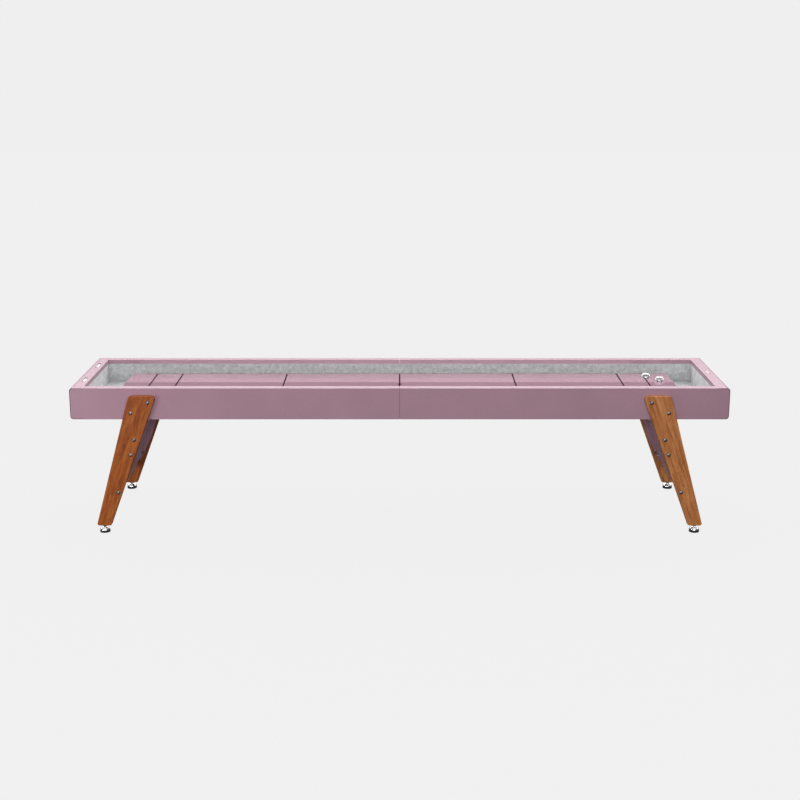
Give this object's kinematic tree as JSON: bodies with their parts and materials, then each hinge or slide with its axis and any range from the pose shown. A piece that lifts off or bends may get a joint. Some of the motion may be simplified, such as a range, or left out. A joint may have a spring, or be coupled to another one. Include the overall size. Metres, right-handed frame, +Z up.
{
  "type": "shuffleboard table",
  "caption": "Long shuffleboard table with a pink steel cabinet, felt-lined gutters, a raised glossy board, splayed wooden legs and levelling feet.",
  "frame": {"origin": "on the floor under the middle of the table", "axes": "+X along the table to its right end, +Z up, the front side faces -Y"},
  "size_m": [3.66, 0.87, 0.8308],
  "materials": {
    "stainless": "satin stainless steel",
    "pink_paint": "satin powder coat, dusty pink",
    "frame_paint": "matt powder coat, dark plum",
    "grey_felt": "needled wool-look felt, mid grey",
    "pink_laminate": "gloss compact laminate, dusty pink",
    "plywood": "sealed birch plywood",
    "dark_inlay": "dark plum inlay",
    "leg_wood": "oiled iroko, satin",
    "black_rubber": "matt black rubber",
    "chrome": "polished chrome plate",
    "zinc_steel": "zinc plated steel",
    "white_plastic": "white acetal, smooth",
    "badge_metal": "satin anodised, blank"
  },
  "bodies": {
    "table_frame": {"badge_plate": "badge_metal", "board_core_left": "plywood", "board_core_right": "plywood", "bottom_panel_left": "pink_paint", "bottom_panel_right": "pink_paint", "court_lines": "dark_inlay", "cross_panel_left": "pink_paint", "cross_panel_right": "pink_paint", "end_panel_left": "pink_paint", "end_panel_right": "pink_paint", "felt_lining_left": "grey_felt", "felt_lining_right": "grey_felt", "foot_inserts": "zinc_steel", "front_panel_left": "pink_paint", "front_panel_right": "pink_paint", "gutter_floor_left": "frame_paint", "gutter_floor_right": "frame_paint", "gutter_stop_left": "frame_paint", "gutter_stop_right": "frame_paint", "gutter_wall_front_left": "frame_paint", "gutter_wall_front_right": "frame_paint", "gutter_wall_rear_left": "frame_paint", "gutter_wall_rear_right": "frame_paint", "joint_bolts": "stainless", "joint_nuts": "stainless", "joint_plate_left": "frame_paint", "joint_plate_right": "frame_paint", "leg_bolts": "stainless", "leg_bracket_front_left": "pink_paint", "leg_bracket_front_right": "pink_paint", "leg_bracket_rear_left": "pink_paint", "leg_bracket_rear_right": "pink_paint", "leg_front_left": "leg_wood", "leg_front_right": "leg_wood", "leg_mount_plate_front_left": "frame_paint", "leg_mount_plate_front_right": "frame_paint", "leg_mount_plate_rear_left": "frame_paint", "leg_mount_plate_rear_right": "frame_paint", "leg_nuts": "stainless", "leg_rear_left": "leg_wood", "leg_rear_right": "leg_wood", "panel_bolts": "stainless", "panel_nuts": "stainless", "playing_board_left": "pink_laminate", "playing_board_right": "pink_laminate", "rear_panel_left": "pink_paint", "rear_panel_right": "pink_paint", "score_axles": "stainless", "score_cradles": "frame_paint", "underframe_left": "frame_paint", "underframe_right": "frame_paint"},
    "foot_front_left": {"foot_cup_front_left": "chrome", "foot_pad_front_left": "black_rubber"},
    "foot_front_right": {"foot_cup_front_right": "chrome", "foot_pad_front_right": "black_rubber"},
    "foot_rear_left": {"foot_cup_rear_left": "chrome", "foot_pad_rear_left": "black_rubber"},
    "foot_rear_right": {"foot_cup_rear_right": "chrome", "foot_pad_rear_right": "black_rubber"},
    "score_roller_front": {"score_roller_front": "white_plastic"},
    "score_roller_rear": {"score_roller_rear": "white_plastic"},
    "puck_near": {"puck_base_near": "chrome", "puck_cap_near_piece": "white_plastic"},
    "puck_far": {"puck_base_far": "chrome", "puck_cap_far_piece": "white_plastic"}
  },
  "joints": [
    {"name": "foot_front_left_height", "type": "slide", "parent": "table_frame", "child": "foot_front_left", "axis": [0, 0, 1], "range_m": [-0.02, 0]},
    {"name": "foot_front_right_height", "type": "slide", "parent": "table_frame", "child": "foot_front_right", "axis": [0, 0, 1], "range_m": [-0.02, 0]},
    {"name": "foot_rear_left_height", "type": "slide", "parent": "table_frame", "child": "foot_rear_left", "axis": [0, 0, 1], "range_m": [-0.02, 0]},
    {"name": "foot_rear_right_height", "type": "slide", "parent": "table_frame", "child": "foot_rear_right", "axis": [0, 0, 1], "range_m": [-0.02, 0]},
    {"name": "score_roller_front_spin", "type": "hinge", "parent": "table_frame", "child": "score_roller_front", "pos_m": [-1.787, -0.185, 0.8124], "axis": [0, 1, 0], "continuous": true},
    {"name": "score_roller_rear_spin", "type": "hinge", "parent": "table_frame", "child": "score_roller_rear", "pos_m": [-1.787, 0.185, 0.8124], "axis": [0, 1, 0], "continuous": true},
    {"name": "puck_near_slide", "type": "slide", "parent": "table_frame", "child": "puck_near", "axis": [1, 0, 0], "range_m": [-3.05, 0.04]},
    {"name": "puck_far_slide", "type": "slide", "parent": "table_frame", "child": "puck_far", "axis": [1, 0, 0], "range_m": [-3, 0.1]}
  ]
}
